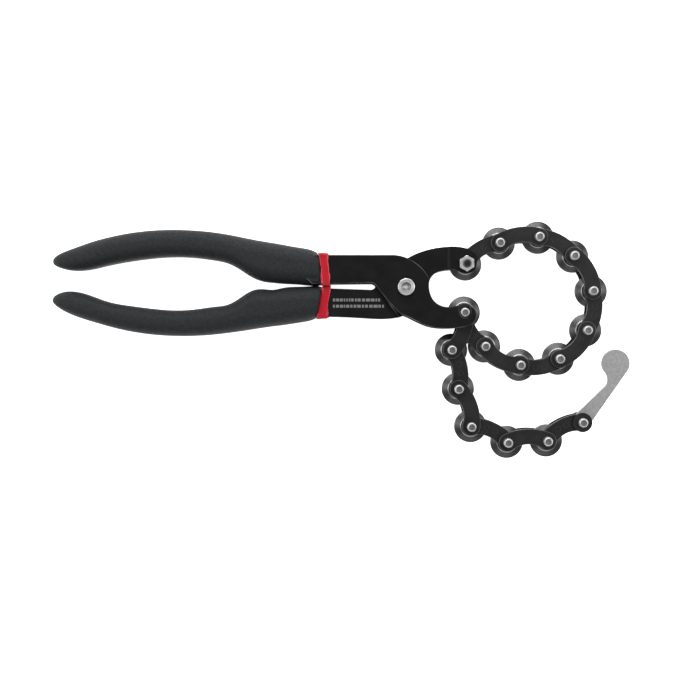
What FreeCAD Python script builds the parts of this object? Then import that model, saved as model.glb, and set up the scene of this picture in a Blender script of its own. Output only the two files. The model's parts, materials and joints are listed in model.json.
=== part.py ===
import FreeCAD, Part
import math
import os

import Sketcher
from FreeCAD import Vector

# A chain pipe cutter. Two crossed pairs of lever plates turn on one rivet. A chain of curved links
# and cutting wheels is bolted to the jaw of the chain lever, goes once round the pipe, and one of
# its pins drops into the notch in the jaw of the hook lever. The spare links hang free and end in a
# flat tail handle.
#
# Frame: the origin is on the axis of the pivot rivet, in the plane of the rivet's rear face. +X
# points from the grips to the chain, +Y to the hook lever's grip, +Z through the pivot to the front.
# Everything is symmetric about the mid-plane of the chain, which is mid_height above the origin.

SIZES = {
    # chain
    "link_pitch": 23.0,
    "link_thickness": 1.5,
    "link_end_radius": 5.2,
    "link_crown": 7.5,
    "link_waist": 1.4,
    "pin_radius": 2.6,
    "pin_chamfer": 0.8,
    "pin_chamfer_depth": 0.45,
    "pin_stand_out": 0.4,
    "wheel_radius": 9.5,
    "wheel_hub_radius": 5.6,
    "wheel_half_width": 2.0,
    "wheel_edge_half_width": 0.12,
    # play
    "running_clearance": 0.05,
    "layer_gap": 0.1,
    "hook_clearance": 0.5,
    "edge_round": 0.35,
    # levers
    "lever_thickness": 2.5,
    "anchor_x": 34.9,
    "anchor_y": 13.5,
    "arm_top": 18.4,
    "arm_slot_top": 1.9,
    "arm_slot_bottom": -0.4,
    "arm_bottom": -17.0,
    "band_front": -44.5,
    "grip_front": -48.4,
    "tang_end": -176.0,
    "tang_half_width": 3.8,
    # pivot
    "pivot_shank_radius": 3.6,
    "pivot_head_radius": 4.85,
    "pivot_head_height": 1.8,
    "pivot_socket_radius": 2.65,
    "pivot_socket_depth": 1.1,
    "bush_radius": 7.0,
    # chain anchor: bolt and lock nut across the chain lever's jaw
    "nut_across_flats": 8.0,
    "nut_height": 3.3,
    "bolt_head_height": 2.9,
    "bolt_stub": 0.5,
    "insert_radius": 3.3,
    "insert_depth": 0.9,
    # grips
    "grip_half_thickness": 9.4,
    "grip_corner_share": 0.44,
    "band_cover": 0.7,
    "band_gap": 0.2,
    "tang_rivet_radius": 2.0,
    # tail
    "tail_half_thickness": 0.95,
    "tail_length": 39.7,
    "tail_knob_radius": 8.2,
    "tail_root_radius": 5.2,
    "tail_heading": 59.2,
    "washer_radius": 5.6,
    "spacer_radius": 4.6,
}

# Direction of each link at rest, in degrees from +X, from the chain lever to the tail.
LINK_HEADINGS = [32.0, 8.5, -28.5, -62.0, -98.0, -134.0, -171.0, -208.0, -239.0,
                 -109.0, -80.0, -71.5, -23.5, 2.0, 28.0]
LINKS = len(LINK_HEADINGS)
HOOKED_PIN = 9

# Places that follow from the sizes.
LAYOUT = {
    "mid_height": "pivot_top",
    "inner_low": "Sizes.wheel_half_width + Sizes.layer_gap",
    "inner_top": "inner_low + Sizes.link_thickness",
    "outer_low": "inner_top + Sizes.layer_gap",
    "outer_top": "outer_low + Sizes.link_thickness",
    "chain_lever_top": "outer_top + Sizes.layer_gap",
    "chain_lever_low": "chain_lever_top - Sizes.lever_thickness",
    "chain_jaw_low": "inner_top + Sizes.layer_gap",
    "chain_jaw_top": "chain_jaw_low + Sizes.lever_thickness",
    "hook_lever_low": "chain_lever_top + Sizes.layer_gap",
    "hook_lever_top": "hook_lever_low + Sizes.lever_thickness",
    "pin_top": "hook_lever_top + Sizes.pin_stand_out",
    "pivot_top": "hook_lever_top + Sizes.pivot_head_height",
    "nut_top": "chain_jaw_top + Sizes.nut_height",
    "bolt_top": "nut_top + Sizes.bolt_stub",
    "spacer_low": "Sizes.tail_half_thickness + Sizes.layer_gap",
    "bore_radius": "Sizes.pin_radius + Sizes.running_clearance",
}

doc = FreeCAD.newDocument("chain_pipe_cutter")
sizes_sheet = doc.addObject("Spreadsheet::Sheet", "Sizes")
layout_sheet = doc.addObject("Spreadsheet::Sheet", "Layout")
nodes = []


# ---------------------------------------------------------------- sheets

def fill_sheet(sheet, cells):
    for row, (alias, content) in enumerate(cells.items(), start=1):
        sheet.set(f"A{row}", alias)
        sheet.setAlias(f"B{row}", alias)
        sheet.set(f"B{row}", content)


def size(alias):
    return float(sizes_sheet.get(alias))


def place(alias):
    return float(layout_sheet.get(alias))


def pin_position(number):
    return Vector(place(f"pin_x_{number}"), place(f"pin_y_{number}"), 0)


def fill_sheets():
    numbers = {alias: str(value) for alias, value in SIZES.items()}
    for number, heading in enumerate(LINK_HEADINGS, start=1):
        numbers[f"heading_{number}"] = str(heading)
    fill_sheet(sizes_sheet, numbers)
    formulas = {alias: "=" + formula for alias, formula in LAYOUT.items()}
    formulas["pin_x_0"] = "=Sizes.anchor_x"
    formulas["pin_y_0"] = "=Sizes.anchor_y"
    for number in range(1, LINKS + 1):
        angle = f"Sizes.heading_{number} * 1deg"
        formulas[f"pin_x_{number}"] = f"=pin_x_{number - 1} + Sizes.link_pitch * cos({angle})"
        formulas[f"pin_y_{number}"] = f"=pin_y_{number - 1} + Sizes.link_pitch * sin({angle})"
    fill_sheet(layout_sheet, formulas)
    doc.recompute()


# ---------------------------------------------------------------- building blocks

def new_node(label):
    """A body whose label is also the name of its file."""
    body = doc.addObject("PartDesign::Body", label)
    body.Label = label
    body.setExpression("Placement.Base.z", "Layout.mid_height")
    nodes.append(body)
    return body


def put_at_pin(body, number, heading=None):
    body.setExpression("Placement.Base.x", f"Layout.pin_x_{number}")
    body.setExpression("Placement.Base.y", f"Layout.pin_y_{number}")
    if heading:
        body.setExpression("Placement.Rotation.Angle", heading)


def new_sketch(body, name, plane="XY_Plane", offset=None):
    sketch = body.newObject("Sketcher::SketchObject", f"{body.Name}_{name}")
    support = [item for item in body.Origin.OriginFeatures if item.Role == plane][0]
    sketch.AttachmentSupport = (support, [""])
    sketch.MapMode = "FlatFace"
    if offset:
        sketch.setExpression("AttachmentOffset.Base.z", offset)
    return sketch


def add_bound_circle(sketch, center_x, center_y, radius):
    """A circle whose centre and radius are expressions of the sheets."""
    circle = sketch.addGeometry(Part.Circle(Vector(0, 0, 0), Vector(0, 0, 1), 1.0), False)
    bound = [
        (Sketcher.Constraint("Radius", circle, 1.0), radius),
        (Sketcher.Constraint("DistanceX", -1, 1, circle, 3, 0.0), center_x),
        (Sketcher.Constraint("DistanceY", -1, 1, circle, 3, 0.0), center_y),
    ]
    for constraint, formula in bound:
        index = sketch.addConstraint(constraint)
        sketch.setExpression(f"Constraints[{index}]", formula)


def smooth_curve(points, leave, arrive):
    """A spline through the points, which leaves and arrives along given directions, if any."""
    tangents = [leave or Vector(1, 0, 0)] + [Vector(1, 0, 0)] * (len(points) - 2)
    tangents.append(arrive or Vector(1, 0, 0))
    flags = [leave is not None] + [False] * (len(points) - 2) + [arrive is not None]
    spline = Part.BSplineCurve()
    spline.interpolate(Points=points, Tangents=tangents, TangentFlags=flags)
    return spline


def line_to(end):
    return "line", [end], None, None


def arc_to(middle, end):
    return "arc", [middle, end], None, None


def curve_to(*points, leave=None, arrive=None):
    return "curve", list(points), leave, arrive


def add_outline(sketch, start, steps):
    """A closed outline of lines, arcs through a point and smooth curves."""
    here = start
    for kind, points, leave, arrive in steps:
        end = points[-1]
        if kind == "line":
            edge = Part.LineSegment(here, end)
        elif kind == "arc":
            edge = Part.Arc(here, points[0], end)
        else:
            edge = smooth_curve([here] + points, leave, arrive)
        sketch.addGeometry(edge, False)
        here = end
    if (here - start).Length > 1e-6:
        sketch.addGeometry(Part.LineSegment(here, start), False)


def add_polygon(sketch, points):
    add_outline(sketch, points[0], [line_to(point) for point in points[1:]])


def add_pad(body, sketch, length):
    pad = body.newObject("PartDesign::Pad", f"{sketch.Name}_pad")
    pad.Profile = sketch
    pad.setExpression("Length", length)
    body.Tip = pad
    return pad


def add_pocket_through(body, sketch):
    """Cuts the sketch right through the body, both ways."""
    pocket = body.newObject("PartDesign::Pocket", f"{sketch.Name}_pocket")
    pocket.Profile = sketch
    pocket.Type = "ThroughAll"
    pocket.Midplane = True
    body.Tip = pocket
    return pocket


def add_revolution(body, sketch):
    turned = body.newObject("PartDesign::Revolution", f"{sketch.Name}_turned")
    turned.Profile = sketch
    turned.ReferenceAxis = (sketch, ["V_Axis"])
    turned.Angle = 360
    body.Tip = turned
    return turned


def flat_edges(shape, heights):
    """Names of the edges that lie level at one of these heights."""
    names = []
    for index, edge in enumerate(shape.Edges, start=1):
        box = edge.BoundBox
        level = box.ZLength < 1e-6 and any(abs(box.ZMin - height) < 1e-6 for height in heights)
        if level:
            names.append(f"Edge{index}")
    return names


def add_rounds(body, feature, heights, radius="Sizes.edge_round"):
    """Rounds the edges of the flat faces that lie at these heights."""
    doc.recompute()
    rounds = body.newObject("PartDesign::Fillet", f"{feature.Name}_rounds")
    rounds.Base = (feature, flat_edges(feature.Shape, heights))
    rounds.setExpression("Radius", radius)
    body.Tip = rounds
    return rounds


def plate_span(low, top, side):
    """Sketch offset of a plate that lies between two layout levels, in front or behind."""
    return f"Layout.{low}" if side > 0 else f"-Layout.{top}"


# ---------------------------------------------------------------- chain

def link_arcs():
    """Centres and radii of the crown and waist arcs, both tangent to the two end circles."""
    half = size("link_pitch") / 2
    rise = size("link_crown") - size("link_end_radius")
    crown_drop = (half ** 2 - rise ** 2) / (2 * rise)
    crown_radius = crown_drop + size("link_crown")
    dip = size("link_end_radius") - size("link_waist")
    waist_drop = (half ** 2 - dip ** 2) / (2 * dip)
    waist_radius = waist_drop - size("link_waist")
    return Vector(half, -crown_drop, 0), crown_radius, Vector(half, -waist_drop, 0), waist_radius


def link_outline():
    """Crescent round two pins, in the link's own frame: first pin at 0, crown towards +Y."""
    crown_center, crown_radius, waist_center, waist_radius = link_arcs()
    end_radius = size("link_end_radius")
    first = Vector(0, 0, 0)
    second = Vector(size("link_pitch"), 0, 0)
    up = Vector(0, 1, 0)
    touch = {}
    for name, pin in (("first", first), ("second", second)):
        crown_way = (pin - crown_center).normalize()
        waist_way = (waist_center - pin).normalize()
        touch[name] = (pin + crown_way * end_radius, pin + waist_way * end_radius)
    far_left = Vector(-end_radius, 0, 0)
    far_right = second + Vector(end_radius, 0, 0)
    steps = [
        arc_to(crown_center + up * crown_radius, touch["second"][0]),
        arc_to(far_right, touch["second"][1]),
        arc_to(waist_center + up * waist_radius, touch["first"][1]),
        arc_to(far_left, touch["first"][0]),
    ]
    return touch["first"][0], steps


def make_link(number):
    """A pair of plates. Odd links lie inside and turn on the pins, even ones outside, pressed on."""
    layer = "inner" if number % 2 else "outer"
    hole = "Layout.bore_radius" if number % 2 else "Sizes.pin_radius"
    body = new_node(f"chain_link_{number:02d}")
    put_at_pin(body, number - 1, f"Sizes.heading_{number}")
    start, steps = link_outline()
    for side in (1, -1):
        offset = plate_span(f"{layer}_low", f"{layer}_top", side)
        name = "front" if side > 0 else "rear"
        sketch = new_sketch(body, name, offset=offset)
        add_outline(sketch, start, steps)
        add_bound_circle(sketch, "0", "0", hole)
        add_bound_circle(sketch, "Sizes.link_pitch", "0", hole)
        pad = add_pad(body, sketch, "Sizes.link_thickness")
    level = place(f"{layer}_top")
    add_rounds(body, pad, (level, -level))


def make_wheel(number):
    """A disc with a hub and two cones that meet in a cutting edge."""
    body = new_node(f"cutting_wheel_{number:02d}")
    put_at_pin(body, number - 1)
    bore = place("bore_radius")
    hub = size("wheel_hub_radius")
    rim = size("wheel_radius")
    half = size("wheel_half_width")
    edge = size("wheel_edge_half_width")
    sketch = new_sketch(body, "section", "XZ_Plane")
    add_polygon(sketch, [
        Vector(bore, -half, 0),
        Vector(hub, -half, 0),
        Vector(rim, -edge, 0),
        Vector(rim, edge, 0),
        Vector(hub, half, 0),
        Vector(bore, half, 0),
    ])
    add_revolution(body, sketch)


def pin_section(radius, top, bottom):
    """Half section of a pin with a chamfer on each end."""
    tip = radius - size("pin_chamfer")
    depth = size("pin_chamfer_depth")
    return [
        Vector(0, bottom, 0),
        Vector(tip, bottom, 0),
        Vector(radius, bottom + depth, 0),
        Vector(radius, top - depth, 0),
        Vector(tip, top, 0),
        Vector(0, top, 0),
    ]


def make_link_pins(number):
    """The two pins of an outer link, in that link's frame."""
    body = new_node(f"link_pins_{number:02d}")
    put_at_pin(body, number - 1, f"Sizes.heading_{number}")
    top = place("pin_top")
    for name, distance in (("near", "0"), ("far", "Sizes.link_pitch")):
        sketch = new_sketch(body, name, offset="-Layout.pin_top")
        add_bound_circle(sketch, distance, "0", "Sizes.pin_radius")
        pad = add_pad(body, sketch, "2 * Layout.pin_top")
    add_end_chamfers(body, pad, top)


def add_end_chamfers(body, feature, level):
    doc.recompute()
    faces = []
    for index, face in enumerate(feature.Shape.Faces, start=1):
        flat = isinstance(face.Surface, Part.Plane)
        if flat and abs(abs(face.CenterOfMass.z) - level) < 1e-6:
            faces.append(f"Face{index}")
    chamfer = body.newObject("PartDesign::Chamfer", f"{body.Name}_chamfers")
    chamfer.Base = (feature, faces)
    chamfer.ChamferType = "Two distances"
    chamfer.setExpression("Size", "Sizes.pin_chamfer_depth")
    chamfer.setExpression("Size2", "Sizes.pin_chamfer")
    body.Tip = chamfer


def make_chain():
    for number in range(1, LINKS + 1):
        make_link(number)
        make_wheel(number)
        if number % 2 == 0:
            make_link_pins(number)


# ---------------------------------------------------------------- anchor of the chain

def add_hexagon(sketch, across_flats, turn):
    corner = across_flats / 2 / math.cos(math.pi / 6)
    angles = [math.radians(turn + 60 * step) for step in range(6)]
    add_polygon(sketch, [Vector(corner * math.cos(a), corner * math.sin(a), 0) for a in angles])


def add_nut_cone(body, low, top):
    """Cuts the corners of a hexagon off with a cone at each end."""
    corner = size("nut_across_flats") / 2 / math.cos(math.pi / 6)
    flat = size("nut_across_flats") / 2
    drop = (corner - flat) * math.tan(math.radians(30))
    sketch = new_sketch(body, "cone", "XZ_Plane")
    outside = corner + 1
    slope = math.tan(math.radians(30))
    for level, way in ((low, 1), (top, -1)):
        add_polygon(sketch, [
            Vector(flat, level, 0),
            Vector(outside, level + way * (outside - flat) * slope, 0),
            Vector(outside, level - way * drop, 0),
            Vector(flat, level - way * drop, 0),
        ])
    groove = body.newObject("PartDesign::Groove", f"{body.Name}_corners")
    groove.Profile = sketch
    groove.ReferenceAxis = (sketch, ["V_Axis"])
    groove.Angle = 360
    body.Tip = groove


def make_anchor_bolt():
    """Hex head behind the rear jaw plate, shank through both plates, end above the nut."""
    body = new_node("anchor_bolt")
    put_at_pin(body, 0)
    shank = new_sketch(body, "shank", "XZ_Plane")
    add_polygon(shank, pin_section(size("pin_radius"), place("bolt_top"), -place("chain_jaw_top")))
    add_revolution(body, shank)
    head = new_sketch(body, "head", offset="-Layout.chain_jaw_top - Sizes.bolt_head_height")
    add_hexagon(head, size("nut_across_flats"), 0)
    add_pad(body, head, "Sizes.bolt_head_height")
    jaw = place("chain_jaw_top")
    add_nut_cone(body, -jaw - size("bolt_head_height"), -jaw)


def make_anchor_nut():
    body = new_node("anchor_nut")
    put_at_pin(body, 0)
    blank = new_sketch(body, "blank", offset="Layout.chain_jaw_top")
    add_hexagon(blank, size("nut_across_flats"), 92)
    add_bound_circle(blank, "0", "0", "Sizes.pin_radius")
    add_pad(body, blank, "Sizes.nut_height")
    add_nut_cone(body, place("chain_jaw_top"), place("nut_top"))
    seat = new_sketch(body, "seat", offset="Layout.nut_top")
    add_bound_circle(seat, "0", "0", "Sizes.insert_radius")
    pocket = body.newObject("PartDesign::Pocket", "anchor_nut_seat_pocket")
    pocket.Profile = seat
    pocket.setExpression("Length", "Sizes.insert_depth")
    body.Tip = pocket


def make_nut_insert():
    """The nylon ring that locks the nut on the bolt."""
    body = new_node("nut_insert")
    put_at_pin(body, 0)
    ring = new_sketch(body, "ring", offset="Layout.nut_top - Sizes.insert_depth")
    add_bound_circle(ring, "0", "0", "Sizes.insert_radius")
    add_bound_circle(ring, "0", "0", "Sizes.pin_radius")
    add_pad(body, ring, "Sizes.insert_depth")


# ---------------------------------------------------------------- pivot

def make_pivot_rivet():
    """Shank with a flat head on each side, and a round socket in the front head."""
    body = new_node("pivot_rivet")
    shank = size("pivot_shank_radius")
    head = size("pivot_head_radius")
    socket = size("pivot_socket_radius")
    face = place("pivot_top")
    under = place("hook_lever_top")
    floor = face - size("pivot_socket_depth")
    rim = size("edge_round")
    front_half = [
        Vector(shank, under, 0),
        Vector(head, under, 0),
        Vector(head, face - rim, 0),
        Vector(head - rim, face, 0),
        Vector(socket, face, 0),
        Vector(socket * 0.72, floor + 0.25, 0),
        Vector(0, floor, 0),
    ]
    rear_half = [
        Vector(0, -face, 0),
        Vector(head - rim, -face, 0),
        Vector(head, rim - face, 0),
        Vector(head, -under, 0),
        Vector(shank, -under, 0),
    ]
    sketch = new_sketch(body, "section", "XZ_Plane")
    add_polygon(sketch, rear_half + front_half)
    add_revolution(body, sketch)


def make_pivot_bush():
    """The ring that keeps the two plates of the chain lever apart."""
    body = new_node("pivot_bush")
    ring = new_sketch(body, "ring", offset="-Layout.chain_lever_low")
    add_bound_circle(ring, "0", "0", "Sizes.bush_radius")
    add_bound_circle(ring, "0", "0", "Sizes.pivot_shank_radius")
    add_pad(body, ring, "2 * Layout.chain_lever_low")


# ---------------------------------------------------------------- lever outlines

def offset_from(center, x, y):
    return Vector(center.x + x, center.y + y, 0)


def tang_middle(stations, x):
    """Height of the middle of a grip at x, between two stations."""
    for near, far in zip(stations, stations[1:]):
        if near.x <= x <= far.x:
            share = (x - near.x) / (far.x - near.x)
            return near.middle() + share * (far.middle() - near.middle())
    return stations[-1].middle()


def tang_edge(stations, side):
    """Points along one edge of the tang, from the arm to its far end."""
    reach = side * size("tang_half_width")
    end = size("tang_end")
    inside = [s for s in reversed(stations) if end + 5 < s.x < size("grip_front") - 15]
    points = [Vector(s.x, s.middle() + reach, 0) for s in inside]
    points.append(Vector(end, tang_middle(stations, end) + reach, 0))
    return points


def neck_x():
    """Where an arm turns into its tang, just inside the grip."""
    return size("grip_front") - 6


def tang_steps(stations, near_edge, far_edge, side):
    """Steps from one edge of the arm, round the tang inside the grip, to the other edge."""
    neck = neck_x()
    near = tang_edge(stations, side)
    far = tang_edge(stations, -side)
    tip = Vector(size("tang_end") - size("tang_half_width"), (near[-1].y + far[-1].y) / 2, 0)
    return [
        line_to(Vector(neck, near_edge, 0)),
        curve_to(*near),
        arc_to(tip, far[-1]),
        curve_to(*reversed(far[:-1]), Vector(neck, far_edge, 0)),
    ]


def tang_rivet_places(stations):
    near = size("grip_front") - 32
    far = size("tang_end") + 18
    return [(x, tang_middle(stations, x)) for x in (near, (near + far) / 2, far)]


def hook_notch_steps(hook):
    """The notch that holds a chain pin, open towards the other jaw."""
    radius = size("pin_radius") + size("hook_clearance")
    lean = math.radians(14)
    along = Vector(-math.sin(lean), math.cos(lean), 0)
    across = Vector(math.cos(lean), math.sin(lean), 0)
    left_low = hook - across * radius
    right_low = hook + across * radius
    return [
        line_to(left_low + along * 4.9),
        line_to(left_low),
        arc_to(hook - along * radius, right_low),
        line_to(right_low + along * 2.9),
    ]


def hook_lever_outline():
    """Upper arm, lobe over the pivot, round gap, and a lower jaw with the hook notch."""
    hook = pin_position(HOOKED_PIN)
    notch = hook_notch_steps(hook)
    notch_corner = notch[0][1][0]
    start = Vector(-7.6, size("arm_top"), 0)
    steps = [
        curve_to(Vector(0.6, 16.6, 0), Vector(8.3, 11.6, 0), Vector(13.5, 4.4, 0),
                 leave=Vector(1, 0, 0)),
        curve_to(Vector(13.2, -0.8, 0), Vector(16.2, -8.2, 0), Vector(20.1, -10.8, 0),
                 Vector(24.3, -11.6, 0), notch_corner),
        *notch[1:],
        curve_to(offset_from(hook, 4.9, 2.4), offset_from(hook, 6.5, -0.8),
                 offset_from(hook, 5.2, -5.6), offset_from(hook, 0.4, -8.2),
                 offset_from(hook, -8.9, -9.4), Vector(12.0, -22.4, 0), Vector(0.0, -16.8, 0),
                 Vector(-7.6, -11.2, 0), Vector(-12.6, -5.5, 0), Vector(-17.6, 1.1, 0),
                 arrive=Vector(-0.6, 0.8, 0)),
        arc_to(Vector(-18.7, 2.0, 0), Vector(-20.0, 2.3, 0)),
        *tang_steps(UPPER_GRIP, size("arm_slot_top"), size("arm_top"), -1),
    ]
    return start, steps


def chain_lever_outline():
    """Lower arm, lobe under the other lever, round gap, and an upper jaw round the anchor."""
    anchor = pin_position(0)
    start = Vector(-20.2, -1.6, 0)
    steps = [
        *tang_steps(LOWER_GRIP, size("arm_slot_bottom"), size("arm_bottom"), 1),
        curve_to(Vector(-27.7, -17.7, 0), Vector(-9.4, -18.2, 0), Vector(-1.0, -16.5, 0),
                 Vector(6.0, -12.4, 0), Vector(11.2, -6.5, 0), Vector(12.9, 1.0, 0),
                 Vector(14.6, 5.6, 0), Vector(18.2, 8.7, 0), Vector(24.3, 10.2, 0),
                 offset_from(anchor, -6.7, -3.3), offset_from(anchor, -2.7, -5.0),
                 offset_from(anchor, 0.9, -5.4), offset_from(anchor, 4.5, -4.0),
                 offset_from(anchor, 6.0, 0.0), offset_from(anchor, 5.2, 5.4),
                 offset_from(anchor, 0.6, 8.6), offset_from(anchor, -9.5, 9.9),
                 Vector(13.0, 21.7, 0), Vector(0.9, 16.8, 0), Vector(-9.5, 8.8, 0),
                 Vector(-18.2, -0.6, 0), leave=Vector(1, 0, 0), arrive=Vector(-0.6, -0.8, 0)),
        arc_to(Vector(-19.1, -1.3, 0), start),
    ]
    return start, steps


# ---------------------------------------------------------------- lever plates

def make_hook_plate(side):
    body = new_node("hook_lever_front" if side > 0 else "hook_lever_rear")
    sketch = new_sketch(body, "outline", offset=plate_span("hook_lever_low", "hook_lever_top", side))
    add_outline(sketch, *hook_lever_outline())
    bore = "Sizes.pivot_shank_radius + Sizes.running_clearance"
    add_bound_circle(sketch, "0", "0", bore)
    add_rivet_circles(sketch, UPPER_GRIP)
    add_pad(body, sketch, "Sizes.lever_thickness")
    return body


def make_chain_plate(side):
    """Flat at the arm, stepped outward at the jaw to make room for the first link."""
    body = new_node("chain_lever_front" if side > 0 else "chain_lever_rear")
    sketch = new_sketch(body, "outline", offset=plate_span("chain_lever_low", "chain_jaw_top", side))
    add_outline(sketch, *chain_lever_outline())
    add_bound_circle(sketch, "0", "0", "Sizes.pivot_shank_radius")
    add_bound_circle(sketch, "Sizes.anchor_x", "Sizes.anchor_y", "Sizes.pin_radius")
    add_rivet_circles(sketch, LOWER_GRIP)
    pad = add_pad(body, sketch, "Layout.chain_jaw_top - Layout.chain_lever_low")
    volume = volume_of(pad)
    step = new_sketch(body, "step", "XZ_Plane")
    add_step_waste(step, side)
    pocket = add_pocket_through(body, step)
    if volume_of(pocket) > 0.9 * volume:
        raise RuntimeError("the step of the chain lever's jaw isn't cut")
    return body


def add_rivet_circles(sketch, stations):
    for x, y in tang_rivet_places(stations):
        add_bound_circle(sketch, f"{x}", f"{y}", "Sizes.tang_rivet_radius")


def add_step_waste(sketch, side):
    """What is taken away on each side of the step, seen along the tool."""
    low = place("chain_lever_low")
    top = place("chain_lever_top")
    jaw_low = place("chain_jaw_low")
    jaw_top = place("chain_jaw_top")
    far_left = size("tang_end") - 20
    far_right = size("anchor_x") + 20
    left = size("anchor_x") - 10.9
    right = left + 1.6
    over = 1.0
    outer = [
        Vector(far_left, top, 0),
        Vector(left, top, 0),
        Vector(right, jaw_top, 0),
        Vector(right, jaw_top + over, 0),
        Vector(far_left, jaw_top + over, 0),
    ]
    inner = [
        Vector(left, low, 0),
        Vector(right, jaw_low, 0),
        Vector(far_right, jaw_low, 0),
        Vector(far_right, low - over, 0),
        Vector(left, low - over, 0),
    ]
    for points in (outer, inner):
        add_polygon(sketch, [Vector(point.x, side * point.y, 0) for point in points])


def volume_of(feature):
    doc.recompute()
    return feature.Shape.Volume


def make_tang_rivets(label, stations, reach):
    body = new_node(label)
    sketch = new_sketch(body, "rivets", offset=f"-Layout.{reach}")
    add_rivet_circles(sketch, stations)
    add_pad(body, sketch, f"2 * Layout.{reach}")
    return body


# ---------------------------------------------------------------- grips and bands

class Station:
    """One cross-section of a grip: where it is, its lower and upper edge, its thickness and tilt."""

    def __init__(self, x, low, high, thickness_share=1.0, tilt=0.0):
        self.x = x
        self.low = low
        self.high = high
        self.thickness_share = thickness_share
        self.tilt = tilt

    def middle(self):
        return (self.low + self.high) / 2


UPPER_FRONT_TILT = 7.5
LOWER_FRONT_TILT = -11.2

UPPER_GRIP = [
    Station(-205.0, 13.9, 16.1, 0.30),
    Station(-202.5, 12.2, 18.2, 0.58),
    Station(-196.0, 10.4, 21.2, 0.82),
    Station(-183.0, 10.9, 25.9, 0.96),
    Station(-165.0, 14.8, 30.4),
    Station(-145.0, 17.5, 32.9),
    Station(-125.0, 17.8, 32.9),
    Station(-110.0, 15.9, 31.5),
    Station(-99.0, 12.2, 29.7),
    Station(-91.0, 7.1, 28.1),
    Station(-84.0, 4.0, 26.8),
    Station(-70.0, 2.4, 24.4),
    Station(-56.0, 1.4, 22.3, 1.0, UPPER_FRONT_TILT / 2),
    Station(-50.0, 1.4, 20.9, 0.98, UPPER_FRONT_TILT),
    Station(-48.4, 2.0, 19.9, 0.92, UPPER_FRONT_TILT),
]
LOWER_GRIP = [
    Station(-205.2, -8.6, -6.4, 0.30),
    Station(-202.7, -10.9, -4.4, 0.58),
    Station(-196.0, -14.8, -2.6, 0.82),
    Station(-183.0, -19.4, -5.2, 0.96),
    Station(-165.0, -24.3, -10.3),
    Station(-145.0, -27.4, -12.9),
    Station(-125.0, -28.0, -13.3),
    Station(-110.0, -27.0, -11.4),
    Station(-99.5, -25.7, -8.4),
    Station(-92.0, -24.6, -3.4),
    Station(-85.0, -23.5, -1.2),
    Station(-70.0, -21.5, -0.3),
    Station(-56.0, -19.7, 0.4, 1.0, LOWER_FRONT_TILT / 2),
    Station(-50.0, -18.8, 0.4, 0.98, LOWER_FRONT_TILT),
    Station(-48.4, -18.0, -0.2, 0.92, LOWER_FRONT_TILT),
]


def section_points(low, high, half_thickness):
    """A rectangle with large round corners: for each corner, where it starts, bends and ends."""
    corner = size("grip_corner_share") * min(high - low, 2 * half_thickness)
    bend = corner * (1 - math.sqrt(0.5))
    edge = half_thickness
    return [
        ((low, corner - edge), (low + bend, bend - edge), (low + corner, -edge)),
        ((high - corner, -edge), (high - bend, bend - edge), (high, corner - edge)),
        ((high, edge - corner), (high - bend, edge - bend), (high - corner, edge)),
        ((low + corner, edge), (low + bend, edge - bend), (low, edge - corner)),
    ]


def add_rounded_section(sketch, low, high, half_thickness):
    corners = section_points(low, high, half_thickness)
    steps = []
    for index, corner in enumerate(corners):
        first, bend, last = [Vector(y, z, 0) for y, z in corner]
        if index:
            steps.append(line_to(first))
        steps.append(arc_to(bend, last))
    first_y, first_z = corners[0][0]
    add_outline(sketch, Vector(first_y, first_z, 0), steps)


def make_blank(label):
    """A body that only serves to shape another piece."""
    body = doc.addObject("PartDesign::Body", label)
    body.setExpression("Placement.Base.z", "Layout.mid_height")
    return body


def make_grip_blank(label, stations):
    body = make_blank(label)
    sections = []
    for index, station in enumerate(stations):
        sketch = new_sketch(body, f"section_{index:02d}", "YZ_Plane")
        turn = FreeCAD.Rotation(Vector(0, 1, 0), station.tilt)
        sketch.AttachmentOffset = FreeCAD.Placement(Vector(0, 0, station.x), turn)
        half = size("grip_half_thickness") * station.thickness_share
        add_rounded_section(sketch, station.low, station.high, half)
        sections.append(sketch)
    loft = body.newObject("PartDesign::AdditiveLoft", f"{label}_loft")
    loft.Profile = sections[0]
    loft.Sections = sections[1:]
    body.Tip = loft
    return body


def make_band_blank(label, corners, reach):
    """The short moulded band between a grip and the bare arm."""
    body = make_blank(label)
    half = f"(Layout.{reach} + Sizes.band_cover)"
    sketch = new_sketch(body, "outline", offset=f"-{half}")
    add_polygon(sketch, [Vector(x, y, 0) for x, y in corners])
    pad = add_pad(body, sketch, f"2 * {half}")
    level = place(reach) + size("band_cover")
    add_rounds(body, pad, (level, -level), "Sizes.band_cover")
    return body


def band_corners(high, low, tilt, front_high, front_low):
    """Corners of a band whose back edge lies along the grip's slanted front."""
    back = size("grip_front") + size("band_gap")
    lean = math.tan(math.radians(tilt))
    return [
        (back - high * lean, high),
        (front_high, high - 0.4),
        (front_low, low),
        (back - low * lean, low),
    ]


def mould_round(label, blank, pieces):
    """The blank less the metal inside it."""
    metal = doc.addObject("Part::MultiFuse", f"{label}_metal")
    metal.Shapes = pieces
    moulding = doc.addObject("Part::Cut", label)
    moulding.Label = label
    moulding.Base = blank
    moulding.Tool = metal
    nodes.append(moulding)
    return moulding


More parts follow.
